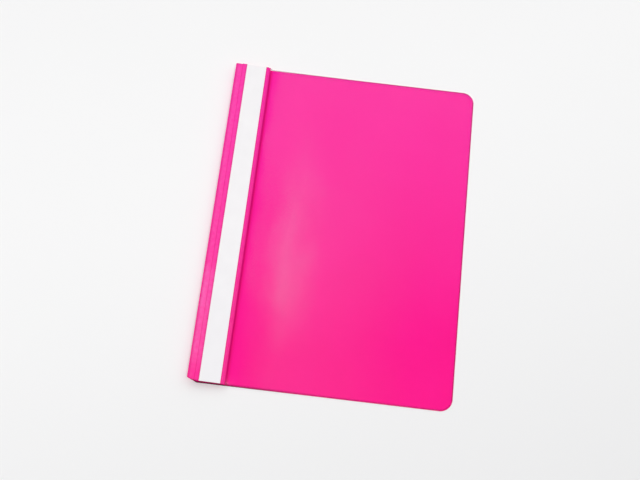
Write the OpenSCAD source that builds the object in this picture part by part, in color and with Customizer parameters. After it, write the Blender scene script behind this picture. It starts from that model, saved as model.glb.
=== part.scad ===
// Fastener folder for A4 paper, lying closed on its back cover, in millimetres.
// One coloured sheet is folded into the back cover, the spine and the front flap.
// The flap carries a label channel outside and a two-prong paper fastener inside.
// A clear front cover is welded to the flap and turns on a crease beside it.
// X runs from the spine to the free edge, Y along the spine, Z up from the table.
// The origin is on the table under the middle of the folder.

/* [Folder] */
// Overall width from the spine to the free edge
folder_w = 230; // [215:1:260]
// Overall length along the spine
folder_len = 310; // [240:1:350]
// Radius of the two corners on the free edge
corner_r = 11; // [4:0.5:20]

/* [Sheets] */
// Thickness of the coloured sheet
sheet_t = 0.3; // [0.2:0.05:0.4]
// Thickness of the clear front sheet
film_t = 0.3; // [0.2:0.05:0.4]
// Margin by which the clear sheet stops inside the coloured sheet
film_margin = 0.5; // [0:0.1:3]
// Width of the clear sheet's margin that is welded to the flap
weld_w = 5; // [3:0.5:5]
// Gap between the two covers where they lie flat
cover_gap = 0.3; // [0.2:0.1:1]

/* [Creases] */
// Radius of the rolled bead along each crease of the coloured sheet
bead_r = 0.4; // [0.3:0.05:0.6]
// Radius of the rolled bead along the crease of the clear sheet
film_bead_r = 0.3; // [0.2:0.05:0.4]
// Clearance between a bead and the sheet that it turns against
crease_gap = 0.15; // [0.1:0.05:0.3]

/* [Closed shape] */
// Free height under the fastener when the folder is closed
under_gap = 2; // [1.5:0.1:6]
// Fall of the flap from the spine towards the front cover, in degrees
flap_tilt = 4; // [2:0.5:7]
// Distance by which the foot of the spine stands in from its upper crease
spine_lean = 8; // [0:0.5:10]
// Height by which the front cover stands up beside its crease
cover_rise = 1.5; // [0.5:0.1:2.8]
// Width over which the front cover steps down from its crease
step_w = 1.5; // [0.8:0.1:3]
// Distance over which the front cover settles onto the back cover
settle_len = 110; // [60:5:150]
// Number of flats in the settling curve of the front cover
settle_n = 12; // [6:1:24]

/* [Label channel] */
// Width of the lip beside the spine, from the outside of the spine
spine_lip_w = 10.5; // [8:0.5:14]
// Width of the label that shows between the lips
window_w = 18.5; // [15:0.5:26]
// Width of the lip beside the front cover
cover_lip_w = 4.2; // [3.6:0.1:8]
// Length of label that runs under the spine lip
tuck_spine = 3.4; // [1:0.1:4]
// Length of label that runs under the cover lip
tuck_cover = 1.6; // [1:0.1:2]
// Side clearance of the label inside each lip
label_side = 0.4; // [0.2:0.1:0.6]
// Clearance above and below the label
label_play = 0.1; // [0.1:0.05:0.3]
// Thickness of the label card
label_t = 0.25; // [0.15:0.05:0.4]
// Distance from the label's ends to the ends of the flap
label_end = 0.5; // [0:0.5:5]
// Width of the pressed step in each lip
lip_step = 0.6; // [0.4:0.1:1]
// Distance from each lip's welded foot to the edge of the flap
lip_setback = 0.5; // [0.5:0.1:1]

/* [Prongs] */
// Distance between the two prongs
prong_pitch = 80; // [70:0.5:110]
// Distance from the spine crease to the prongs
prong_u = 17; // [15:0.5:18.5]
// Width of a prong
prong_w = 4.5; // [3.5:0.1:5]
// Thickness of the steel strip
steel_t = 0.35; // [0.25:0.05:0.5]
// Width of the steel base strip
base_w = 7; // [5:0.5:10]
// Radius of the bend where a prong folds
knuckle_r = 0.3; // [0.25:0.05:0.4]
// Clearance round a prong in the slot through the flap
slot_play = 0.3; // [0.2:0.05:0.6]

/* [Compressor bar] */
// Distance from each prong to the end of the bar
bar_end = 12; // [8:0.5:20]
// Width of the bar's outer flange
flange_w = 12; // [10:0.5:13]
// Thickness of the bar's outer flange
flange_h = 0.9; // [0.8:0.1:1.5]
// Width of the bar's web against the flap
web_w = 8; // [7:0.5:9]
// Height of the bar's web
web_h = 0.9; // [0.9:0.1:1.6]
// Radius of the bar's corners
bar_corner_r = 3; // [1:0.5:4]
// Length of each slot along the bar
bar_slot = 2.4; // [2:0.2:5]
// Side clearance of a prong in the bar's trough
trough_side = 0.4; // [0.2:0.1:0.5]
// Clearance between a folded prong and the floor of the trough
prong_play = 0.1; // [0.05:0.05:0.3]
// Depth of a folded prong's outer face below the face of the bar
prong_sink = 0.35; // [0.1:0.05:0.5]

/* [Locks] */
// Length of a sliding lock along the bar
lock_len = 10; // [6:0.5:13]
// Wall thickness of a sliding lock
lock_t = 0.6; // [0.5:0.1:1.2]
// Clearance between a lock and the bar, and between a lock and the flap
lock_play = 0.2; // [0.1:0.05:0.25]
// Width of each lock's hook over the bar's flange
hook_w = 1.8; // [1:0.1:2]
// Gap between the two parked locks
lock_mid_gap = 4; // [1:0.5:8]
// Gap between a parked lock and the tip of its prong
lock_tip_gap = 1; // [0.5:0.1:3]
// Number of grip ribs on a lock
rib_n = 3; // [2:1:4]
// Height of a grip rib
rib_h = 0.3; // [0.2:0.1:0.6]
// Width of a grip rib
rib_w = 0.8; // [0.5:0.1:1]

/* [Hidden] */
// Resolution of arcs
$fn = 48;
// Extra length of a cutting tool past the face that it cuts
cut = 1;

// Spine axes: the upper crease overhangs the lower one at the left end of the folder
spine_x = -folder_w / 2;
crease_x = spine_x + bead_r;
foot_x = crease_x + spine_lean;
back_x = foot_x + bead_r + crease_gap;

// Flap frame: origin on the upper crease, u along the flap, w out of its label side
flap_top = bead_r;
flap_bot = bead_r - sheet_t;
window_u0 = spine_lip_w - bead_r;
window_u1 = window_u0 + window_w;
flap_u1 = window_u1 + cover_lip_w;

// Label and lips, stacked up from the label side of the flap
label_w0 = flap_top + steel_t + label_play;
lip_w0 = label_w0 + label_t + label_play;
lip_foot_mid = flap_top + sheet_t / 2;
lip_top_mid = lip_w0 + sheet_t / 2;
label_u0 = window_u0 - tuck_spine;
label_u1 = window_u1 + tuck_cover;

// Bar, prongs and locks, stacked down from the inner side of the flap
flange_w1 = flap_bot - web_h;
bar_w0 = flange_w1 - flange_h;
trough_d = prong_sink + steel_t + prong_play;
trough_w = prong_w + 2 * trough_side;
prong_axis_w = bar_w0 + prong_sink + steel_t / 2;
prong_y = prong_pitch / 2;
prong_len = prong_y - lock_mid_gap / 2 - lock_len - lock_tip_gap;
bar_len = prong_pitch + 2 * bar_end;
lock_half_w = flange_w / 2 + lock_play + lock_t;
lock_in_w = bar_w0 - lock_play;
lock_w0 = lock_in_w - lock_t;
lock_low = lock_w0 - rib_h;
lock_y = lock_mid_gap / 2 + lock_len / 2;

// The flap stands high enough to keep the fastener clear of the back cover
lock_drop = (prong_u + lock_half_w) * sin(flap_tilt) - lock_low * cos(flap_tilt);
spine_h = sheet_t + under_gap + lock_drop;

// Spine wall from the lower crease to the upper one, leaning out over the table
wall_lean = atan2(spine_lean, spine_h - bead_r);
wall_len = norm([spine_lean, spine_h - bead_r]) - bead_r - crease_gap;

// Weld margin of the clear sheet, on the inner side of the flap along its edge
weld_u0 = flap_u1 - weld_w;

// Crease of the front cover, in the flap frame and in the folder's frame
cover_axis_u = flap_u1 + crease_gap + film_bead_r;
cover_axis_w = flap_bot - film_t / 2;
cover_axis_x = crease_x + cover_axis_u * cos(flap_tilt) + cover_axis_w * sin(flap_tilt);
cover_axis_z = spine_h - cover_axis_u * sin(flap_tilt) + cover_axis_w * cos(flap_tilt);

// Front cover, as the middle line of its section from the crease to the flat part
film_len = folder_len - 2 * film_margin;
film_x1 = folder_w / 2 - film_margin;
panel_z = sheet_t + cover_gap + film_t / 2;
settle_x0 = cover_axis_x + step_w;
settle_x1 = settle_x0 + settle_len;
function settle_point(i) = [
    settle_x0 + settle_len * i / settle_n,
    panel_z + cover_rise * (1 + cos(180 * i / settle_n)) / 2
];
cover_path = concat(
    [[cover_axis_x, cover_axis_z]],
    [for (i = [0:settle_n]) settle_point(i)],
    [[settle_x1 + cut, panel_z]]
);

// Sections of the two lips, each from its free edge or foot across the pressed step
spine_lip_path = [
    [lip_setback, lip_foot_mid],
    [label_u0 - label_side - lip_step, lip_foot_mid],
    [label_u0 - label_side, lip_top_mid],
    [window_u0, lip_top_mid]
];
cover_lip_path = [
    [window_u1, lip_top_mid],
    [label_u1 + label_side, lip_top_mid],
    [label_u1 + label_side + lip_step, lip_foot_mid],
    [flap_u1 - lip_setback, lip_foot_mid]
];

// Left normal of one stretch of a section line
function stretch_normal(a, b) = [a[1] - b[1], b[0] - a[0]] / norm(b - a);
// Mitre of two normals, so that the sheet keeps its thickness round a bend
function mitre(n1, n2) = 2 * (n1 + n2) / ((n1 + n2) * (n1 + n2));
function corner_normal(p, i) =
    i == 0 ? stretch_normal(p[0], p[1]) :
    i == len(p) - 1 ? stretch_normal(p[i - 1], p[i]) :
    mitre(stretch_normal(p[i - 1], p[i]), stretch_normal(p[i], p[i + 1]));
function side_line(p, d) = [for (i = [0:len(p) - 1]) p[i] + d * corner_normal(p, i)];
function reversed(p) = [for (i = [len(p) - 1:-1:0]) p[i]];

// Places a piece in the flap frame
module on_flap() {
    translate([crease_x, 0, spine_h])
        rotate([0, flap_tilt, 0])
            children();
}

// Extrudes a section in the XZ plane along the spine
module along_spine(l) {
    rotate([90, 0, 0])
        linear_extrude(height = l, center = true)
            children();
}

// Folded sheet of even thickness along a section line
module folded_sheet(path, t, l) {
    along_spine(l)
        polygon(concat(side_line(path, t / 2), reversed(side_line(path, -t / 2))));
}

// Round bead along a crease
module crease_bead(r, l) {
    rotate([90, 0, 0])
        cylinder(r = r, h = l, center = true);
}

// Outline of a cover with round corners on the free edge
module cover_outline(x0, x1, l, r) {
    translate([x0, -l / 2])
        square([x1 - r - x0, l]);
    translate([x1 - 2 * r, r - l / 2])
        square([2 * r, l - 2 * r]);
    for (side = [-1, 1])
        translate([x1 - r, side * (l / 2 - r)])
            circle(r);
}

// Rectangle with round corners about the origin
module round_bar_outline(w, l, r) {
    square([w, l - 2 * r], center = true);
    square([w - 2 * r, l], center = true);
    for (sx = [-1, 1])
        for (sy = [-1, 1])
            translate([sx * (w / 2 - r), sy * (l / 2 - r)])
                circle(r);
}

// Back cover, flat on the table
module back_cover() {
    color("hotpink")
        linear_extrude(height = sheet_t)
            cover_outline(back_x, folder_w / 2, folder_len, corner_r);
}

// Spine wall between the two creases, with the lower crease's bead at its foot
module spine_wall() {
    color("deeppink")
        translate([foot_x, 0, bead_r])
            rotate([0, -wall_lean, 0]) {
                translate([-bead_r, -folder_len / 2, 0])
                    cube([sheet_t, folder_len, wall_len]);
                crease_bead(bead_r, folder_len);
            }
}

// Flap with the upper crease's bead, pierced by the two prongs
module spine_flap() {
    color("hotpink")
        on_flap()
            difference() {
                union() {
                    translate([0, -folder_len / 2, flap_bot])
                        cube([flap_u1, folder_len, sheet_t]);
                    crease_bead(bead_r, folder_len);
                }
                for (side = [-1, 1])
                    translate([prong_u, side * prong_y, (flap_top + flap_bot) / 2])
                        cube([prong_w + 2 * slot_play, steel_t + 2 * slot_play, sheet_t + 2 * cut],
                             center = true);
            }
}

// Lip beside the spine, welded at its foot and raised over the label's edge
module spine_lip() {
    color("deeppink")
        on_flap()
            folded_sheet(spine_lip_path, sheet_t, folder_len);
}

// Lip beside the front cover
module cover_lip() {
    color("deeppink")
        on_flap()
            folded_sheet(cover_lip_path, sheet_t, folder_len);
}

// Card label that slides in the channel between the lips
module label_strip() {
    color("white")
        on_flap()
            translate([label_u0, label_end - folder_len / 2, label_w0])
                cube([label_u1 - label_u0, folder_len - 2 * label_end, label_t]);
}

// Clear front cover: crease bead, step, settling curve and flat part
module front_cover() {
    color("pink", 0.5) {
        translate([cover_axis_x, 0, cover_axis_z])
            crease_bead(film_bead_r, film_len);
        folded_sheet(cover_path, film_t, film_len);
        translate([0, 0, panel_z - film_t / 2])
            linear_extrude(height = film_t)
                cover_outline(settle_x1, film_x1, film_len, corner_r);
    }
}

// Margin of the clear sheet that is welded to the inner side of the flap
module cover_weld() {
    color("pink", 0.5)
        on_flap()
            translate([weld_u0, -film_len / 2, flap_bot - film_t])
                cube([weld_w, film_len, film_t]);
}

// Steel strip under the label, with the roots of the two prongs
module fastener_base() {
    root_w0 = prong_axis_w + knuckle_r + crease_gap;
    color("silver")
        on_flap()
            translate([prong_u, 0, 0]) {
                translate([-base_w / 2, -prong_y - steel_t / 2, flap_top])
                    cube([base_w, prong_pitch + steel_t, steel_t]);
                for (side = [-1, 1])
                    translate([-prong_w / 2, side * prong_y - steel_t / 2, root_w0])
                        cube([prong_w, steel_t, flap_top + steel_t - root_w0]);
            }
}

// One prong, folded flat towards the middle of the bar, with a round tip
module prong(side) {
    color("silver")
        on_flap()
            translate([prong_u, side * prong_y, prong_axis_w])
                rotate([0, 0, side > 0 ? 0 : 180]) {
                    rotate([0, 90, 0])
                        cylinder(r = knuckle_r, h = prong_w, center = true);
                    translate([-prong_w / 2, prong_w / 2 - prong_len, -steel_t / 2])
                        cube([prong_w, prong_len - prong_w / 2, steel_t]);
                    translate([0, prong_w / 2 - prong_len, 0])
                        cylinder(d = prong_w, h = steel_t, center = true);
                }
}

module upper_prong() {
    prong(1);
}

module lower_prong() {
    prong(-1);
}

// Compressor bar: web and flange, a trough for the folded prongs and two slots
module compressor_bar() {
    color("whitesmoke")
        on_flap()
            translate([prong_u, 0, 0])
                difference() {
                    union() {
                        translate([0, 0, bar_w0])
                            linear_extrude(height = flange_h)
                                round_bar_outline(flange_w, bar_len, bar_corner_r);
                        translate([0, 0, flange_w1])
                            linear_extrude(height = web_h)
                                round_bar_outline(web_w, bar_len, bar_corner_r);
                    }
                    translate([-trough_w / 2, -prong_y, bar_w0 - cut])
                        cube([trough_w, prong_pitch, trough_d + cut]);
                    for (side = [-1, 1])
                        translate([-trough_w / 2, side * prong_y - bar_slot / 2, bar_w0 - cut])
                            cube([trough_w, bar_slot, flange_h + web_h + 2 * cut]);
                }
}

// One sliding lock, hooked round the flange of the bar, parked clear of its prong
module lock(side) {
    hook_w0 = flange_w1 + lock_play;
    hook_w1 = flap_bot - lock_play;
    inner_w = flange_w + 2 * lock_play;
    mouth_w = inner_w - 2 * hook_w;
    rib_pitch = lock_len / (rib_n + 1);
    color("gainsboro")
        on_flap()
            translate([prong_u, side * lock_y, 0]) {
                along_spine(lock_len)
                    difference() {
                        translate([-lock_half_w, lock_w0])
                            square([2 * lock_half_w, hook_w1 - lock_w0]);
                        translate([-inner_w / 2, lock_in_w])
                            square([inner_w, hook_w0 - lock_in_w]);
                        translate([-mouth_w / 2, lock_in_w])
                            square([mouth_w, hook_w1 - lock_in_w + cut]);
                    }
                for (i = [1:rib_n])
                    translate([-inner_w / 2, i * rib_pitch - (lock_len + rib_w) / 2, lock_low])
                        cube([inner_w, rib_w, rib_h]);
            }
}

module upper_lock() {
    lock(1);
}

module lower_lock() {
    lock(-1);
}

back_cover();
spine_wall();
spine_flap();
spine_lip();
cover_lip();
label_strip();
front_cover();
cover_weld();
fastener_base();
upper_prong();
lower_prong();
compressor_bar();
upper_lock();
lower_lock();
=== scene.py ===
"""Looks of the fastener folder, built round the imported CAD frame. Sizes in mm become metres."""

import math

import bmesh
import bpy
import numpy as np
from mathutils import Matrix, Vector


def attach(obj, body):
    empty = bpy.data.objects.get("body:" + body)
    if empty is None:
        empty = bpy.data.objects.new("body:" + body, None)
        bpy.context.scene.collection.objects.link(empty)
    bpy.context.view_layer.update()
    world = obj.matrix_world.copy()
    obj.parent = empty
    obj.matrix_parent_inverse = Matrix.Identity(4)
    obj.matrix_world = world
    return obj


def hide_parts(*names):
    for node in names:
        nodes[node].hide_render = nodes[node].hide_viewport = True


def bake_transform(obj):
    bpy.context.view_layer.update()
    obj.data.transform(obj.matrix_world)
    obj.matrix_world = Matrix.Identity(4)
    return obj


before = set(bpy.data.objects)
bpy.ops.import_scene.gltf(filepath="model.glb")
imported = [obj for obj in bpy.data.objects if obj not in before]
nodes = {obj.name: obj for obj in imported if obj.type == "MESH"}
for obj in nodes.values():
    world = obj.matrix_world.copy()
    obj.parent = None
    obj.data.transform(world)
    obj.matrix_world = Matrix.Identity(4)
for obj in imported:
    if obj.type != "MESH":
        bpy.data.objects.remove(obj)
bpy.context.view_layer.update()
MM = 0.001

# Sizes of the folder, as in the part's source. Places on the flap are u across it and w out of it.
LEN, WIDTH = 310.0, 230.0
HALF_LEN = LEN / 2
SHEET, FILM, CARD = 0.3, 0.3, 0.25  # thicknesses
CORNER = 11.0
CREASE = np.array([-114.6, 6.7534])  # upper crease of the spine, x and z
FOOT = np.array([-106.6, 0.4])  # lower crease of the spine
TILT = math.radians(4)
FOLD_R = 0.25
FLAP_END = 32.8
PRONG_U, PRONG_Y, SLOT_HALF_U, SLOT_HALF_Y = 17.0, 40.0, 2.55, 0.475
LIP_FOOT_W, LIP_TOP_W = 0.55, 1.35
LABEL_U0, LABEL_U1, LABEL_W = 6.7, 30.2, 0.975
COVER_AXIS_U, COVER_AXIS_W = 33.25, -0.05
STEP_W, RISE, SETTLE, PANEL_Z = 1.5, 1.5, 110.0, 0.75  # film: its step and how it settles to its flat height
FILM_LEN, FILM_X1 = 309.0, 114.5

# Small forms of the looks alone
CUT_BACK, CUT_RUN = 1.7, 10.1  # cut-back lower end of the flap at the spine corner
NICK, NICK_RUN = 0.9, 0.8  # its deeper cut at the very corner
FOLD_REACH = 2.0  # flat stretch of a fold piece on the back and on the flap
FLOOR_SHORT, FLOOR_U0, FLOOR_U1 = 0.5, 6.0, 30.5  # the flap ends short under the label
LABEL_LOW, LABEL_HIGH, LABEL_BEHIND, LABEL_CROWN = -154.6, 154.7, 0.3, 0.04
FILM_FOLD_LAP, FILM_FOLD_REACH = 0.3, 0.6  # the film's fold piece before and behind its axis
ROUND_BEFORE, ROUND_AFTER = 0.5, 0.8  # round between the film's step and its settling curve
WAVE = 0.10


def on_flap(u, w):
    """Point of the flap's frame in the section plane."""
    return (CREASE[0] + u * math.cos(TILT) + w * math.sin(TILT),
            CREASE[1] - u * math.sin(TILT) + w * math.cos(TILT))


def unit(v):
    return v / np.linalg.norm(v)


def runs(points):
    """Length along a line at each of its points."""
    return np.concatenate([[0], np.cumsum(np.linalg.norm(np.diff(points, axis=0), axis=1))])


def with_normals(points, up):
    """Section line with the normal at each point, on the side of up."""
    p = np.array(points, float)
    d = np.gradient(p, axis=0)
    n = np.stack([-d[:, 1], d[:, 0]], 1)
    n /= np.linalg.norm(n, axis=1)[:, None]
    n *= np.sign(n @ np.array(up, float))[:, None]
    return np.hstack([p, n])


def even(a, b, step):
    """Values from a to b in about equal steps."""
    return np.linspace(a, b, max(2, int(abs(b - a) / step) + 1))


def edged(a, b, step, soft=0.3):
    """The same, with a close line inside each end, so that only the rim is shaded round."""
    s = soft if b > a else -soft
    return np.concatenate([[a], even(a + s, b - s, step), [b]])


def smooth(t):
    """Soft step from 0 to 1."""
    t = np.clip(t, 0, 1)
    return t * t * (3 - 2 * t)


def near(d, reach):
    """1 at distance 0, fading over reach."""
    return math.exp(-abs(d) / reach)


def link(obj):
    bpy.context.scene.collection.objects.link(obj)
    return obj


def turn_outwards(me):
    """Turns all faces of a closed mesh outwards."""
    bm = bmesh.new()
    bm.from_mesh(me)
    bmesh.ops.recalc_face_normals(bm, faces=bm.faces)
    bm.to_mesh(me)
    bm.free()


def sheet(name, section, lows, highs, share, thick, soft=0.1, butt=(False, False),
          turned=None, wave=None, rim_w=0.25, holes=(), marks=None):
    """Closed thin sheet: a section line with normals, swept along Y between lows and highs, with a round rim.
    share gives the lines along Y and soft the rounding. butt tells which ends of the section meet another
    piece. turned gives the outward way of the side rims, wave the height at x and y, and holes the ranges of
    cells left out. marks are functions of x, y and the run along the section, kept on the points for the
    materials, and rim_w is the width of the mark along the rim."""
    sec = np.array(section, float)
    n, m = len(sec), len(share)
    y = np.array(lows)[:, None] + (np.array(highs) - np.array(lows))[:, None] * np.array(share)[None, :]
    p = np.zeros((n, m, 3))
    p[..., 0], p[..., 1], p[..., 2] = sec[:, 0, None], y, sec[:, 1, None]
    if wave is not None:
        p[..., 2] += wave(p[..., 0], p[..., 1])
    nor = np.zeros((n, m, 3))
    nor[..., 0], nor[..., 2] = sec[:, 2, None], sec[:, 3, None]
    tan = np.zeros((n, 3))
    d = np.gradient(sec[:, :2], axis=0)
    d /= np.linalg.norm(d, axis=1)[:, None]
    tan[:, 0], tan[:, 2] = d[:, 0], d[:, 1]
    run = runs(sec[:, :2])

    out = np.zeros((n, m, 3))
    for i in range(n):
        side = np.array(turned[i]) if turned is not None else np.array([0.0, 1.0])
        out[i, 0] += side[0] * tan[i] + np.array([0, -side[1], 0])
        out[i, -1] += side[0] * tan[i] + np.array([0, side[1], 0])
    if not butt[0]:
        out[0] -= tan[0]
    if not butt[1]:
        out[-1, 1:-1] += tan[-1]
        if turned is None:
            out[-1, 0] += tan[-1]
            out[-1, -1] += tan[-1]

    # Points: both faces, then three rings round the rim
    half = thick / 2
    ring = ([(i, 0) for i in range(n)] + [(n - 1, j) for j in range(1, m)]
            + [(i, m - 1) for i in range(n - 2, -1, -1)] + [(0, j) for j in range(m - 2, 0, -1)])
    verts, spots = [], []
    for sign in (1, -1):
        verts += (p + sign * half * nor - soft * out).reshape(-1, 3).tolist()
        spots += [(i, j) for i in range(n) for j in range(m)]
    first_ring = len(verts)
    for rise, inset in ((0.7, 0.3), (0.0, 0.0), (-0.7, 0.3)):
        verts += [(p[c] + rise * half * nor[c] - inset * soft * out[c]).tolist() for c in ring]
        spots += ring

    def at(layer, i, j):
        return layer * n * m + i * m + j

    faces = []
    gone = {(i, j) for i0, i1, j0, j1 in holes for i in range(i0, i1) for j in range(j0, j1)}
    for i in range(n - 1):
        for j in range(m - 1):
            if (i, j) in gone:
                continue
            faces.append((at(0, i, j), at(0, i + 1, j), at(0, i + 1, j + 1), at(0, i, j + 1)))
            faces.append((at(1, i, j), at(1, i, j + 1), at(1, i + 1, j + 1), at(1, i + 1, j)))
    for i0, i1, j0, j1 in holes:
        loop = ([(i, j0) for i in range(i0, i1)] + [(i1, j) for j in range(j0, j1)]
                + [(i, j1) for i in range(i1, i0, -1)] + [(i0, j) for j in range(j1, j0, -1)])
        for here, then in zip(loop, loop[1:] + loop[:1]):
            faces.append((at(0, *here), at(0, *then), at(1, *then), at(1, *here)))
    r = len(ring)
    layers = [[at(0, *c) for c in ring]]
    layers += [[first_ring + k * r + c for c in range(r)] for k in range(3)]
    layers += [[at(1, *c) for c in ring]]
    for upper, lower in zip(layers, layers[1:]):
        for c in range(r):
            e = (c + 1) % r
            faces.append((upper[c], lower[c], lower[e], upper[e]))

    me = bpy.data.meshes.new(name)
    me.from_pydata([tuple(x * MM for x in v) for v in verts], [], faces)
    me.update()
    turn_outwards(me)
    uv = np.array([(run[i], y[i, j]) for i, j in spots], np.float32)
    corner = np.zeros(len(me.loops), np.int32)
    me.loops.foreach_get("vertex_index", corner)
    me.uv_layers.new(name="Flat").uv.foreach_set("vector", (uv[corner] * MM).ravel())

    edge = np.zeros(len(verts), np.float32)
    for k, (i, j) in enumerate(spots):
        rim = min(abs(y[i, j] - y[i, 0]), abs(y[i, -1] - y[i, j]))
        if not butt[0]:
            rim = min(rim, run[i])
        if not butt[1]:
            rim = min(rim, run[-1] - run[i])
        edge[k] = near(rim, rim_w)
    me.attributes.new("rim", "FLOAT", "POINT").data.foreach_set("value", edge)
    for label, fn in (marks or {}).items():
        values = np.array([fn(sec[i, 0], y[i, j], run[i]) for i, j in spots], np.float32)
        me.attributes.new(label, "FLOAT", "POINT").data.foreach_set("value", values)
    me.polygons.foreach_set("use_smooth", [True] * len(me.polygons))
    return link(bpy.data.objects.new(name, me))


# Materials

def tree(name):
    """New material with an empty node tree."""
    mat = bpy.data.materials.new(name)
    mat.use_nodes = True
    nt = mat.node_tree
    nt.nodes.clear()
    return mat, nt


def add(nt, kind, inputs=None, **props):
    """New node. An input is a value or the output of another node."""
    node = nt.nodes.new(kind)
    for k, v in props.items():
        setattr(node, k, v)
    for k, v in (inputs or {}).items():
        socket = node.inputs[k]
        if isinstance(v, bpy.types.NodeSocket):
            nt.links.new(v, socket)
        else:
            socket.default_value = v
    return node


def flat_place(nt):
    """Place on the flat sheet: across it from its first edge, and along the folder."""
    return add(nt, "ShaderNodeUVMap", uv_map="Flat").outputs[0]


def object_place(nt):
    return add(nt, "ShaderNodeTexCoord").outputs["Object"]


def axes(nt, vector):
    return add(nt, "ShaderNodeSeparateXYZ", {"Vector": vector}).outputs


def mark(nt, name):
    """Value of a mark kept on the points, 0 where the mesh has none."""
    return add(nt, "ShaderNodeAttribute", attribute_name=name).outputs["Fac"]


def scaled(nt, coords, scale, turn=0.0):
    return add(nt, "ShaderNodeMapping", {"Vector": coords, "Scale": scale,
                                         "Rotation": (0, 0, turn)}).outputs[0]


def noise(nt, vector, scale, detail=2.0, rough=0.5):
    return add(nt, "ShaderNodeTexNoise", {"Vector": vector, "Scale": scale, "Detail": detail,
                                          "Roughness": rough}).outputs["Fac"]


def span(nt, value, a, b, lo, hi, kind="LINEAR"):
    """Value from a to b carried to lo to hi, and held there beyond."""
    return add(nt, "ShaderNodeMapRange", {"Value": value, "From Min": a, "From Max": b,
                                          "To Min": lo, "To Max": hi}, interpolation_type=kind).outputs[0]


def soft_span(nt, value, a, b, lo, hi):
    return span(nt, value, a, b, lo, hi, "SMOOTHSTEP")


def calc(nt, op, a, b=0.0):
    return add(nt, "ShaderNodeMath", {0: a, 1: b}, operation=op).outputs[0]


def dot(nt, a, b):
    return add(nt, "ShaderNodeVectorMath", {0: a, 1: b}, operation="DOT_PRODUCT").outputs["Value"]


def times(nt, a, b):
    return calc(nt, "MULTIPLY", a, b)


def plus(nt, a, b):
    return calc(nt, "ADD", a, b)


def hairlines(nt, vector, width):
    """Thin lines, 1 in the middle of each."""
    hair = noise(nt, vector, 1.0, 1.0)
    return span(nt, calc(nt, "ABSOLUTE", calc(nt, "SUBTRACT", hair, 0.5)), 0.0, width, 1.0, 0.0)


def mixed(nt, fac, a, b):
    """Colour between a and b."""
    node = add(nt, "ShaderNodeMix", {"Factor": fac}, data_type="RGBA")
    for socket, v in ((node.inputs[6], a), (node.inputs[7], b)):
        if isinstance(v, bpy.types.NodeSocket):
            nt.links.new(v, socket)
        else:
            socket.default_value = (*v, 1.0)
    return node.outputs[2]


def shader_mix(nt, fac, a, b):
    return add(nt, "ShaderNodeMixShader", {0: fac, 1: a.outputs[0], 2: b.outputs[0]})


def bump(nt, height, strength, distance, normal=None):
    inputs = {"Height": height, "Strength": strength, "Distance": distance}
    if normal is not None:
        inputs["Normal"] = normal
    return add(nt, "ShaderNodeBump", inputs).outputs[0]


def finish_with(nt, shader):
    out = add(nt, "ShaderNodeOutputMaterial")
    nt.links.new(shader.outputs[0], out.inputs["Surface"])


# The pink lighter towards the top end is painted light. The pale pink is worn folds and a painted sheen on
# the lips. The dark rim pink, the deeper red under the crease and the near black of the gap are painted
# shade.
PINK, PINK_LIGHT = (0.96, 0.0025, 0.256), (0.98, 0.0040, 0.278)
PINK_FLOW, PINK_LIT_TOP, PINK_WEAR_AND_SHEEN = (0.98, 0.014, 0.32), (0.98, 0.009, 0.44), (0.97, 0.27, 0.66)
PINK_RIM_SHADE, PINK_CREASE_SHADE, GAP_SHADE = (0.58, 0.003, 0.12), (0.98, 0.0010, 0.19), (0.045, 0.002, 0.005)


def coloured_sheet(name):
    """Extruded plastic sheet: pink painted lighter towards the top end as painted light, faint flow lines
    along the sheet, fine satin grain, thin scuffs, pale worn folds and a painted sheen on the lips, dark rims
    as painted shade, and the marks of the single sheets, among them painted shade under the crease and in the
    gap at the lower end."""
    mat, nt = tree(name)
    flat = flat_place(nt)
    clouds = noise(nt, flat, 14.0, 3.0)
    flow = noise(nt, scaled(nt, flat, (900, 9, 9)), 1.0, 3.0)
    grain = noise(nt, flat, 3200.0, 1.0)
    scuffs = hairlines(nt, scaled(nt, flat, (22, 1500, 22), 0.5), 0.012)
    colour = mixed(nt, span(nt, clouds, 0.3, 0.7, 0.0, 1.0), PINK, PINK_LIGHT)
    colour = mixed(nt, span(nt, flow, 0.3, 0.7, 0.0, 0.12), colour, PINK_FLOW)
    # Painted light: the pink is lighter towards the top end.
    colour = mixed(nt, soft_span(nt, axes(nt, flat)["Y"], -0.16, 0.14, 0.0, 0.5), colour, PINK_LIT_TOP)
    patches = span(nt, noise(nt, flat, 260.0, 2.0), 0.3, 0.75, 0.17, 0.32)
    # Pale worn folds, and on the lips a painted sheen.
    colour = mixed(nt, times(nt, mark(nt, "wear_and_sheen"), patches), colour, PINK_WEAR_AND_SHEEN)
    # Painted shade: the rims are darker.
    colour = mixed(nt, times(nt, mark(nt, "rim"), 0.7), colour, PINK_RIM_SHADE)
    # Painted shade: deeper red under the film's crease.
    colour = mixed(nt, mark(nt, "crease_shade"), colour, PINK_CREASE_SHADE)
    # Painted shade: near black in the gap at the lower end and in a thin line beside it.
    colour = mixed(nt, mark(nt, "gap_shade"), colour, GAP_SHADE)
    rough = plus(nt, span(nt, grain, 0.2, 0.8, 0.30, 0.40), times(nt, scuffs, 0.06))
    height = plus(nt, times(nt, grain, 0.35), times(nt, flow, 0.65))
    finish_with(nt, add(nt, "ShaderNodeBsdfPrincipled", {
        "Base Color": colour, "Roughness": rough, "Normal": bump(nt, height, 0.12, 0.00006),
        "IOR": 1.49, "Specular IOR Level": 0.08}))
    return mat


# Painted highlights of the film, laid on as a milky veil, in metres on the flat sheet: where each one rises
# and falls across it, where it starts and ends along it, and its most
PAINTED_HIGHLIGHTS = (((0.012, 0.042), (0.037, 0.074), (-0.128, -0.050), (-0.050, 0.110), 0.047),
         ((0.016, 0.045), (0.060, 0.165), (-0.215, -0.135), (0.000, 0.130), 0.011))
MILK_HAZE_AND_HIGHLIGHT, FILM_RIM_SHADE = (0.84, 0.77, 1.0, 1), (0.36, 0.012, 0.085, 1)
WHITE = (1, 1, 1, 1)


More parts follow.
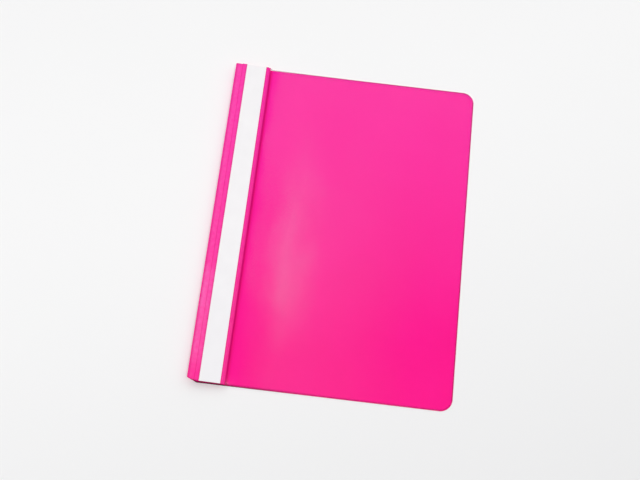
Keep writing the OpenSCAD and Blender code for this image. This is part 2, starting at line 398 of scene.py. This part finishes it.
def film_haze_and_highlights(nt, flat, haze_and_highlight):
    """Adds the painted highlights of the whole sheet and a painted reflection along a slant to the milky
    veil, then dulls and pales it by the film's marks.
    """
    drift = span(nt, noise(nt, scaled(nt, flat, (30, 18, 18)), 1.0, 3.0), 0.3, 0.7, -0.007, 0.007)
    place = axes(nt, flat)
    across = plus(nt, place["X"], drift)
    along = plus(nt, place["Y"], times(nt, drift, 1.5))
    # Painted highlights, laid on as a milky veil.
    for rise, fall, low, high, most in PAINTED_HIGHLIGHTS:
        highlight = times(nt, soft_span(nt, across, *rise, 0.0, most), soft_span(nt, across, *fall, 1.0, 0.0))
        highlight = times(nt, highlight, soft_span(nt, along, *low, 0.0, 1.0))
        haze_and_highlight = plus(nt, haze_and_highlight, times(nt, highlight, soft_span(nt, along, *high, 1.0, 0.0)))
    # Painted reflection: a little more milkiness towards the upper end and the crease, along a slant.
    slant = calc(nt, "SUBTRACT", along, times(nt, across, 0.35))
    haze_and_highlight = plus(nt, haze_and_highlight, soft_span(nt, slant, -0.16, -0.06, 0.0, 0.0075))
    # Painted shade: the veil is taken away in the dull parts by the crease.
    haze_and_highlight = times(nt, haze_and_highlight, calc(nt, "SUBTRACT", 1.0, times(nt, mark(nt, "dull"), 0.85)))
    streaks = span(nt, noise(nt, scaled(nt, flat, (900, 160, 200), 0.4), 1.0, 2.0), 0.35, 0.7, 0.0, 0.2)
    return plus(nt, haze_and_highlight, times(nt, mark(nt, "pale"), streaks))


def clear_film(name, marked=True):
    """Clear film: sees through, mirrors softly, with a faint uneven milky veil, painted highlights in it
    where marked, slow waves and fine scuffs.
    Without marks it is for a CAD node, which has no flat sheet."""
    mat, nt = tree(name)
    flat = flat_place(nt) if marked else object_place(nt)
    slow = noise(nt, scaled(nt, flat, (11, 6, 8)), 1.0, 2.0)
    fine = noise(nt, flat, 2600.0, 1.0)
    scuffs = hairlines(nt, scaled(nt, flat, (26, 1700, 26), -0.35), 0.010)
    normal = bump(nt, fine, 0.10, 0.00004, bump(nt, slow, 0.5, 0.0012))
    rough = plus(nt, span(nt, fine, 0.2, 0.8, 0.15, 0.21), times(nt, scuffs, 0.05))
    facing = add(nt, "ShaderNodeLayerWeight", {"Blend": 0.5, "Normal": normal}).outputs["Facing"]
    mirror = plus(nt, times(nt, calc(nt, "POWER", facing, 5.0), 0.9), 0.018)
    haze_and_highlight = plus(nt, span(nt, slow, 0.25, 0.75, 0.0002, 0.0012), times(nt, scuffs, 0.003))
    if marked:
        haze_and_highlight = film_haze_and_highlights(nt, flat, haze_and_highlight)
        # Painted shade: no mirror in the dull parts by the crease.
        mirror = times(nt, mirror, calc(nt, "SUBTRACT", 1.0, mark(nt, "dull")))
    clear = add(nt, "ShaderNodeBsdfTransparent", {"Color": WHITE})
    gloss = add(nt, "ShaderNodeBsdfGlossy", {"Color": WHITE, "Roughness": rough, "Normal": normal})
    # The milky diffuse carries the veil and the painted highlights.
    milk_and_highlight = add(nt, "ShaderNodeBsdfDiffuse", {"Color": MILK_HAZE_AND_HIGHLIGHT, "Normal": normal})
    shader = shader_mix(nt, haze_and_highlight, shader_mix(nt, mirror, clear, gloss), milk_and_highlight)
    if marked:
        # Painted shade: the film's rim is darkened to a dark pink, standing for the shade and the pink light
        # at its cut edge.
        rim = add(nt, "ShaderNodeBsdfDiffuse", {"Color": FILM_RIM_SHADE})
        shader = shader_mix(nt, times(nt, mark(nt, "rim"), 0.4), shader, rim)
    finish_with(nt, shader)
    return mat


CARD_TONES, CARD_FIBRE = ((0.900, 0.885, 0.902), (0.932, 0.917, 0.932)), (0.82, 0.81, 0.82)
CARD_LOW_SHADE, CARD_RIM_SHADE = (0.83, 0.82, 0.85), (0.78, 0.76, 0.77)


def label_card(name):
    """Uncoated white card: faint fibre, a little greyer at the lower end as painted shade, and a slightly
    darker rim as painted shade.
    """
    mat, nt = tree(name)
    flat = flat_place(nt)
    fibre = noise(nt, scaled(nt, flat, (2600, 700, 900)), 1.0, 3.0, 0.6)
    clouds = noise(nt, flat, 60.0, 3.0)
    colour = mixed(nt, span(nt, clouds, 0.3, 0.7, 0.0, 1.0), *CARD_TONES)
    colour = mixed(nt, span(nt, fibre, 0.45, 0.8, 0.0, 0.22), colour, CARD_FIBRE)
    # Painted shade: greyer towards the lower end.
    colour = mixed(nt, soft_span(nt, axes(nt, flat)["Y"], -0.16, 0.02, 0.45, 0.0), colour, CARD_LOW_SHADE)
    # Painted shade: a slightly darker rim.
    colour = mixed(nt, times(nt, mark(nt, "rim"), 0.35), colour, CARD_RIM_SHADE)
    finish_with(nt, add(nt, "ShaderNodeBsdfPrincipled", {
        "Base Color": colour, "Roughness": span(nt, fibre, 0.2, 0.8, 0.78, 0.92),
        "Normal": bump(nt, fibre, 0.25, 0.00008), "Specular IOR Level": 0.25}))
    return mat


STEEL_TONES, STEEL_BRIGHT = ((0.62, 0.61, 0.60), (0.76, 0.76, 0.77)), (0.86, 0.86, 0.87)


def plated_steel(name):
    """Bright plated strip: rolling lines along Y, small stains and scuffs."""
    mat, nt = tree(name)
    place = object_place(nt)
    rolled = noise(nt, scaled(nt, place, (2600, 60, 2600)), 1.0, 3.0)
    stain = noise(nt, place, 320.0, 3.0)
    colour = mixed(nt, span(nt, stain, 0.3, 0.7, 0.0, 1.0), *STEEL_TONES)
    colour = mixed(nt, span(nt, rolled, 0.45, 0.75, 0.0, 0.35), colour, STEEL_BRIGHT)
    rough = plus(nt, span(nt, rolled, 0.25, 0.75, 0.20, 0.34), span(nt, stain, 0.5, 0.8, 0.0, 0.10))
    finish_with(nt, add(nt, "ShaderNodeBsdfPrincipled", {
        "Base Color": colour, "Metallic": 1.0, "Roughness": rough,
        "Normal": bump(nt, rolled, 0.20, 0.00003)}))
    return mat


BAR_TONE, LOCK_TONE, SPARK_TONE = (0.86, 0.86, 0.84), (0.80, 0.80, 0.78), (0.97, 0.97, 0.96)


def bar_plastic(name, tone):
    """Moulded matt plastic: fine spark texture, faint flow clouds."""
    mat, nt = tree(name)
    place = object_place(nt)
    spark = noise(nt, place, 4200.0, 2.0, 0.6)
    clouds = noise(nt, scaled(nt, place, (120, 35, 120)), 1.0, 3.0)
    low = tuple(0.90 * c for c in tone)
    colour = mixed(nt, span(nt, clouds, 0.3, 0.7, 0.0, 1.0), low, tone)
    colour = mixed(nt, span(nt, spark, 0.5, 0.8, 0.0, 0.18), colour, SPARK_TONE)
    finish_with(nt, add(nt, "ShaderNodeBsdfPrincipled", {
        "Base Color": colour, "Roughness": span(nt, spark, 0.2, 0.8, 0.46, 0.62),
        "Normal": bump(nt, spark, 0.22, 0.00005), "IOR": 1.49}))
    return mat


pink = coloured_sheet("pink_sheet")
film = clear_film("clear_film")
film_margin = clear_film("clear_film_margin", marked=False)
card = label_card("label_card")


def dress(obj, mat, slot, *replaced):
    obj.data.materials.append(mat)
    for n in replaced:
        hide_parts(n)


# Coloured sheet: back, two folds and flap, one run of the same section

LONG = np.unique(np.round(np.concatenate([
    edged(0, 1, 1 / 62, 0.3 / LEN), [1 / LEN, 2.5 / LEN, 1 - 1 / LEN]]), 9))


def cut_back(u):
    """How far the lower end is cut back at a place across the flap."""
    u = np.maximum(u, 0)
    return CUT_BACK * np.clip(1 - u / CUT_RUN, 0, 1) + NICK * np.exp(-u / NICK_RUN)


def corner_lines(x1):
    """Lines across a round corner that ends at x1, closer towards the end."""
    turns = np.radians(np.linspace(0, 84, 13))
    return [x1 - CORNER + CORNER * math.sin(a) for a in turns] + [x1 - 0.03, x1]


def corner_rim(xs, x1, length):
    """Half lengths and outward ways of a sheet with round corners at its last end."""
    t = np.clip((np.array(xs) - (x1 - CORNER)) / CORNER, 0, 1)
    ways = [(s, math.sqrt(max(0.0, 1 - s * s))) for s in t]
    return length / 2 - CORNER + CORNER * np.sqrt(1 - t * t), ways


def painted_gap_shade(d):
    """Painted shade in the gap at the lower end, by the distance from the edge."""
    return min(1.0, 1.35 * near(d, 1.3))


def back_gap_shade(x, y, s):
    """The same painted shade under the flap, and a thin painted dark line beside it that fades out along the
    lower end.
    """
    d, beside = y + HALF_LEN, float(smooth((x + 85) / 5))
    line = min(1.0, 1.5 * near(d, 0.5)) * float(1 - smooth((x + 84) / 90))
    return (1 - beside) * painted_gap_shade(d) + beside * line


def painted_crease_shade(x, y, s):
    """Painted shade: deeper red on the back below the crease of the film."""
    off = x - crease_x
    return 0.6 * float(smooth((off + 2) / 2) * (1 - smooth((off - 0.3) / 2.2)))


crease_x = on_flap(COVER_AXIS_U, COVER_AXIS_W)[0]
back_x = FOOT[0] + FOLD_REACH
back_xs = np.unique(np.concatenate([
    edged(back_x, WIDTH / 2 - CORNER, 7.0)[:-1], corner_lines(WIDTH / 2),
    crease_x + np.arange(-3.0, 5.0, 1.0)]))
ends, ways = corner_rim(back_xs, WIDTH / 2, LEN)
# Painted shade on the back: near black in the gap at the lower end and deeper red under the crease.
back = sheet("back_sheet", [(x, SHEET / 2, 0, 1) for x in back_xs], -ends, ends, LONG, SHEET,
             butt=(True, False), turned=ways, marks={"gap_shade": back_gap_shade, "crease_shade": painted_crease_shade})
dress(back, pink, "coloured_sheet", "back_cover")
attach(back, "back")

wall_len = np.linalg.norm(CREASE - FOOT)
wall_way = (CREASE - FOOT) / wall_len
wall_out = np.array([-wall_way[1], wall_way[0]])
wall_out *= -1 if wall_out[0] > 0 else 1
wall_angle = math.degrees(math.atan2(wall_out[1], wall_out[0])) % 360
flap_out = np.array([math.sin(TILT), math.cos(TILT)])
flap_angle = 90 - math.degrees(TILT)


def round_fold(centre, a0, a1, k):
    """Points and inward normals of the sheet's middle round a fold, between two angles."""
    a = np.radians(np.linspace(a0, a1, k))
    way = np.stack([np.cos(a), np.sin(a)], 1)
    return np.hstack([centre + FOLD_R * way, -way])


def straight(a, b, normal, step):
    """Points and normals of a flat stretch of the sheet's middle."""
    p = np.linspace(a, b, max(2, int(np.linalg.norm(np.array(b) - np.array(a)) / step) + 1))
    return np.hstack([p, np.tile(np.array(normal, float), (len(p), 1))])


# The two fold pieces meet in the middle of the wall
wall_mid = FOOT + 0.5 * wall_len * wall_way + FOLD_R * wall_out
low_section = np.vstack([
    straight((back_x, SHEET / 2), (FOOT[0], SHEET / 2), (0, 1), 0.4)[:-1],
    round_fold(FOOT, 270, wall_angle, 7)[:-1],
    straight(FOOT + FOLD_R * wall_out, wall_mid, -wall_out, 0.5)])
low_run = runs(low_section[:, :2])
low_lead = 0.5 * smooth((low_run - FOLD_REACH) / (low_run[-1] - FOLD_REACH))
# The fold is paler where worn, and has painted shade in the gap at its lower end.
low_fold = sheet("lower_fold", low_section, -HALF_LEN + cut_back(0) * low_lead,
                 np.full(len(low_section), HALF_LEN), LONG, SHEET, butt=(True, True),
                 marks={"wear_and_sheen": lambda x, y, s: 0.8 * near(s - FOLD_REACH - 0.05, 0.45),
                        "gap_shade": lambda x, y, s: painted_gap_shade(y + HALF_LEN)})
dress(low_fold, pink, "coloured_sheet", "spine_wall")
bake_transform(low_fold)

top_section = np.vstack([
    straight(wall_mid, CREASE + FOLD_R * wall_out, -wall_out, 0.5)[:-1],
    round_fold(CREASE, wall_angle, flap_angle, 15)[:-1],
    straight(on_flap(0, FOLD_R), on_flap(FOLD_REACH, FOLD_R), -flap_out, 0.4)])
top_run = runs(top_section[:, :2])
arc_end = top_run[-1] - FOLD_REACH
top_lead = 0.5 + 0.5 * smooth(top_run / (arc_end - 0.6))
top_fold = sheet("upper_fold", top_section, -HALF_LEN + cut_back(top_run - arc_end) * top_lead,
                 np.full(len(top_section), HALF_LEN), LONG, SHEET, butt=(True, True),
                 marks={"wear_and_sheen": lambda x, y, s: 0.9 * near(s - arc_end + 0.3, 0.5)})
dress(top_fold, pink, "coloured_sheet")
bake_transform(top_fold)

# Flap with the two slots for the prongs
slot_us = (PRONG_U - SLOT_HALF_U, PRONG_U + SLOT_HALF_U)
slot_ys = [HALF_LEN + s * PRONG_Y + e * SLOT_HALF_Y for s in (-1, 1) for e in (-1, 1)]
flap_us = np.unique(np.concatenate([even(FOLD_REACH, 14.0, 2.0), slot_us,
                                    even(21.0, FLAP_END - 0.3, 2.0), [FLAP_END]]))
flap_share = np.unique(np.concatenate([LONG, np.array(slot_ys) / LEN]))
slot_i = [int(np.argmin(abs(flap_us - u))) for u in slot_us]
slot_j = [int(np.argmin(abs(flap_share - y / LEN))) for y in slot_ys]
under_label = FLOOR_SHORT * smooth((flap_us - FLOOR_U0) / 3) * smooth((FLOOR_U1 - flap_us) / 2)
flap = sheet("flap_sheet", [(*on_flap(u, FOLD_R), *flap_out) for u in flap_us],
             -HALF_LEN + np.maximum(cut_back(flap_us), under_label), HALF_LEN - under_label,
             flap_share, SHEET, butt=(True, False), holes=[(*slot_i, *slot_j[:2]), (*slot_i, *slot_j[2:])])
dress(flap, pink, "coloured_sheet", "spine_flap")
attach(flap, "flap")


# Lips of the label channel, each with a rounded pressed step

def spine_lip_sheen(y):
    """Paleness of the spine lip, a painted sheen: strongest over the lower third, less at the very end."""
    sheen_stretch = smooth((-48 - y) / 10) * (1 - 0.3 * smooth((-85 - y) / 20)) * (1 - smooth((-125 - y) / 20))
    return float(0.95 + 0.72 * sheen_stretch - 0.35 * smooth((-138 - y) / 10))


def cover_lip_paleness(y):
    """Paleness of the cover lip: a little more towards the lower end."""
    return 0.5 - 0.00055 * y


def lip(name, node, foot, step0, step1, edge, cut, wear_and_sheen):
    """Lip from its welded foot to its free edge, stepping up over the label between step0 and step1.
    cut is 1 where the lip is cut back with the flap, and the last argument gives its paleness along the
    folder."""
    way = np.sign(step0 - foot)
    us = np.concatenate([edged(foot, step0 - 0.2 * way, 1.2)[:-1],
                         np.linspace(step0 - 0.25 * way, step1 + 0.25 * way, 13),
                         edged(step1 + 0.3 * way, edge, 1.2)[1:]])
    ws = LIP_FOOT_W + (LIP_TOP_W - LIP_FOOT_W) * smooth((us - step0) / (step1 - step0))
    section = with_normals([on_flap(u, w) for u, w in zip(us, ws)], flap_out)
    # Painted sheen: each lip is paler on the side of its foot, on top of its paleness along the folder.
    obj = sheet(name, section, -HALF_LEN + cut * cut_back(us), np.full(len(us), HALF_LEN), LONG, SHEET,
                rim_w=0.4,
                marks={"wear_and_sheen": lambda x, y, s: wear_and_sheen(y) * float(1 - 0.25 * smooth((s - 1.5) / 5.5))})
    dress(obj, pink, "coloured_sheet", node)
    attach(obj, "flap")


lip("spine_lip_sheet", "spine_lip", foot=0.5, step0=5.7, step1=6.3, edge=10.1,
    cut=1, wear_and_sheen=spine_lip_sheen)
lip("cover_lip_sheet", "cover_lip", foot=32.3, step0=31.2, step1=30.6, edge=28.6,
    cut=0, wear_and_sheen=cover_lip_paleness)

# Label card, a little crowned across the channel
label_us = edged(LABEL_U0, LABEL_U1, 1.5)
label_ws = LABEL_W + LABEL_CROWN * np.sin(np.pi * (label_us - LABEL_U0) / (LABEL_U1 - LABEL_U0))
label_points = [on_flap(u, w) for u, w in zip(label_us, label_ws)]
label = sheet("label_card_strip", with_normals(label_points, flap_out),
              np.maximum(LABEL_LOW, -HALF_LEN + cut_back(label_us) + LABEL_BEHIND),
              np.full(len(label_us), LABEL_HIGH), LONG, CARD, soft=0.06)
dress(label, card, "label_card", "label_strip")
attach(label, "label")

# Clear cover: crease, step, settling curve and flat part
axis = np.array(on_flap(COVER_AXIS_U, COVER_AXIS_W))
step_end = np.array([axis[0] + STEP_W, PANEL_Z + RISE])
step_way = unit(step_end - axis)
fold_end = axis + FILM_FOLD_REACH * step_way
film_low = -FILM_LEN / 2
fold_points = np.vstack([np.linspace(on_flap(FLAP_END - FILM_FOLD_LAP, COVER_AXIS_W), axis, 6)[:-1],
                         np.linspace(axis, fold_end, 5)])
film_fold = sheet("cover_fold", with_normals(fold_points, flap_out), np.full(len(fold_points), film_low),
                  np.full(len(fold_points), -film_low), LONG, FILM, butt=(True, True),
                  marks={"dull": lambda x, y, s: 1.0, "pale": lambda x, y, s: near(y - film_low, 2.0)})
dress(film_fold, film, "clear_sheet")
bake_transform(film_fold)


def settle_z(x):
    """Height of the film's middle beyond the step."""
    return PANEL_Z + RISE * (1 + np.cos(np.pi * np.clip((x - step_end[0]) / SETTLE, 0, 1))) / 2


def film_wave(x, y):
    """Slow waves of the film, gone at the crease and kept above the back sheet."""
    most = WAVE * smooth((x - step_end[0]) / 12) * (1 + 1.2 * smooth((10 - x) / 60))
    return most * (0.55 * np.sin(y / 23 + 1.3 * np.sin(x / 41)) + 0.3 * np.sin(x / 13 - y / 37)
                   + 0.15 * np.sin(y / 8 + x / 17))


def film_dull(x, y, s):
    """Strip of uneven width beside the crease where the film is given no shine and no veil, a painted shade
    that leaves the pink there darker.
    """
    width = 9 + 3 * math.sin(y / 19 + 0.6) + 2 * math.sin(y / 7.3) + 13 * smooth((-40 - y) / 60)
    return 1 - smooth((x - axis[0] - 1.0) / width)


# The step runs into the settling curve with a small round
round_start = step_end - ROUND_BEFORE * step_way
round_end = np.array([step_end[0] + ROUND_AFTER, settle_z(step_end[0] + ROUND_AFTER)])
round_points = [(1 - t) ** 2 * round_start + 2 * t * (1 - t) * step_end + t * t * round_end
                for t in np.linspace(0, 1, 9)]
panel_xs = np.concatenate([even(round_end[0] + 2.2, FILM_X1 - CORNER, 4.0), corner_lines(FILM_X1)[1:]])
panel_points = np.vstack([np.linspace(fold_end, round_start, 5)[:-1], round_points,
                          np.stack([panel_xs, settle_z(panel_xs)], 1)])
ends, ways = corner_rim(panel_points[:, 0], FILM_X1, FILM_LEN)
panel = sheet("cover_film", with_normals(panel_points, (0.6, 0.8)), -ends, ends, LONG, FILM,
              butt=(True, False), turned=ways, wave=film_wave, rim_w=0.3,
              marks={"dull": film_dull,
                     "pale": lambda x, y, s: near(math.hypot(x - axis[0], y - film_low), 2.0)})
dress(panel, film, "clear_sheet", "front_cover")
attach(panel, "cover")

# CAD nodes that stay: fastener, bar, locks and the welded margin of the film, with the width of soft edges
kept = {"cover_weld": (film_margin, 0),
        "fastener_base": (plated_steel("steel_base"), 0.06),
        "upper_prong": (plated_steel("steel_prong_upper"), 0.06),
        "lower_prong": (plated_steel("steel_prong_lower"), 0.06),
        "compressor_bar": (bar_plastic("bar_white", BAR_TONE), 0.2),
        "upper_lock": (bar_plastic("lock_white_upper", LOCK_TONE), 0.12),
        "lower_lock": (bar_plastic("lock_white_lower", LOCK_TONE), 0.12)}
for name, (mat, soft_edge) in kept.items():
    obj = nodes[name]
    obj.data.materials.clear()
    obj.data.materials.append(mat)
    if soft_edge:
        bevel = obj.modifiers.new("soft_edges", "BEVEL")
        bevel.width = soft_edge * MM
        bevel.segments = 2
        bevel.limit_method = "ANGLE"
        bevel.angle_limit = math.radians(40)

# Floor, just below the folder: pale, painted a little darker towards the front as painted shade
FLOOR_SIZE, FLOOR_Z = 60, -0.00005
FLOOR_SLOPE, FLOOR_SPAN = (0.38, -0.925, 0.0), (-0.15, 0.50)
FLOOR_LIT_AND_SHADED, FLOOR_MOTTLE = ((0.937, 0.937, 0.939), (0.785, 0.785, 0.791)), (0.83, 0.83, 0.83)
bpy.ops.mesh.primitive_grid_add(x_subdivisions=8, y_subdivisions=8, size=FLOOR_SIZE,
                                location=(0, 0, FLOOR_Z))
floor = bpy.context.object
floor.name = "floor"
mat, nt = tree("pale_table")
place = object_place(nt)
# Painted shade: darker towards the front.
tone = mixed(nt, soft_span(nt, dot(nt, place, FLOOR_SLOPE), *FLOOR_SPAN, 0.0, 1.0), *FLOOR_LIT_AND_SHADED)
tone = mixed(nt, span(nt, noise(nt, place, 9.0, 2.0), 0.3, 0.7, 0.0, 0.04), tone, FLOOR_MOTTLE)
finish_with(nt, add(nt, "ShaderNodeBsdfPrincipled", {"Base Color": tone, "Roughness": 0.75,
                                                     "Specular IOR Level": 0.1}))
floor.data.materials.append(mat)

# Room: a soft ring of light about a way near the zenith. Low down, what is seen or mirrored is a pale wall.
# The ring's levels are by the cosine of the angle to its centre.
SKY_CENTRE = Vector((0.14, 0.19, 0.97)).normalized()
SKY = ((0.26, 0.06), (0.5, 0.28), (0.77, 1.0), (0.866, 0.82), (0.927, 0.62), (0.951, 0.44), (0.978, 0.12))
SKY_FIRST, SKY_LAST = (0.0, 0.08), (0.988, 0.0)
WALL_TONE = (0.88, 0.88, 0.885, 1)
world = bpy.data.worlds.new("soft_room")
bpy.context.scene.world = world
world.use_nodes = True
nt = world.node_tree
nt.nodes.clear()
way = add(nt, "ShaderNodeTexCoord").outputs["Generated"]
level = add(nt, "ShaderNodeValToRGB", {"Fac": dot(nt, way, SKY_CENTRE)})
ramp = level.color_ramp
for element, (where, grey) in zip(ramp.elements, (SKY_FIRST, SKY_LAST)):
    element.position, element.color = where, (grey, grey, grey, 1)
for where, grey in SKY:
    ramp.elements.new(where).color = (grey, grey, grey, 1)
to = axes(nt, way)
side = times(nt, span(nt, to["X"], -0.6, 0.6, 1.2, 0.85), span(nt, to["Y"], -0.4, 0.3, 0.2, 1.55))
sky = add(nt, "ShaderNodeBackground", {"Color": level.outputs[0], "Strength": side})
path = add(nt, "ShaderNodeLightPath").outputs
seen = calc(nt, "MAXIMUM", path["Is Camera Ray"], path["Is Glossy Ray"])
seen = calc(nt, "MAXIMUM", seen, path["Is Transmission Ray"])
low_down = times(nt, seen, soft_span(nt, to["Z"], 0.12, 0.36, 1.0, 0.0))
far_wall = add(nt, "ShaderNodeBackground", {"Color": WALL_TONE, "Strength": 1.0})
room = shader_mix(nt, low_down, sky, far_wall)
nt.links.new(room.outputs[0], add(nt, "ShaderNodeOutputWorld").inputs["Surface"])


def lamp(name, place, size, watts):
    """Square soft lamp aimed at the folder."""
    data = bpy.data.lights.new(name, "AREA")
    data.shape, data.size, data.energy = "SQUARE", size, watts
    obj = link(bpy.data.objects.new(name, data))
    obj.location = place
    obj.rotation_euler = (-Vector(place)).to_track_quat("-Z", "Y").to_euler()


LAMP_SIZE = 1.4
lamp("key", (-1.1, -1.3, 5.8), LAMP_SIZE, 95.7)
lamp("fill", (1.2, -1.4, 5.6), LAMP_SIZE, 92)

# Camera, as solved from the outline: focal length in pixels of the picture's width, place and axes
FOCAL_PX, PICTURE_PX, SENSOR = 1075.398, 640, 36.0
EYE = (-0.0089464, -0.3473065, 0.9182119)
RIGHT = Vector((0.9931553, 0.1118021, 0.0338047))
DOWN = Vector((0.1166088, -0.9324925, -0.3418480))
AHEAD = Vector((-0.0066967, 0.3434501, -0.9391470))
cam_data = bpy.data.cameras.new("camera")
camera = link(bpy.data.objects.new("camera", cam_data))
cam_data.sensor_fit = "HORIZONTAL"
cam_data.sensor_width = SENSOR
cam_data.lens = FOCAL_PX / PICTURE_PX * SENSOR
cam_data.clip_start, cam_data.clip_end = 0.01, 50
camera.matrix_world = Matrix.Translation(EYE) @ Matrix((RIGHT, -DOWN, -AHEAD)).transposed().to_4x4()
bpy.context.scene.camera = camera
bpy.context.scene.view_settings.view_transform = "Standard"
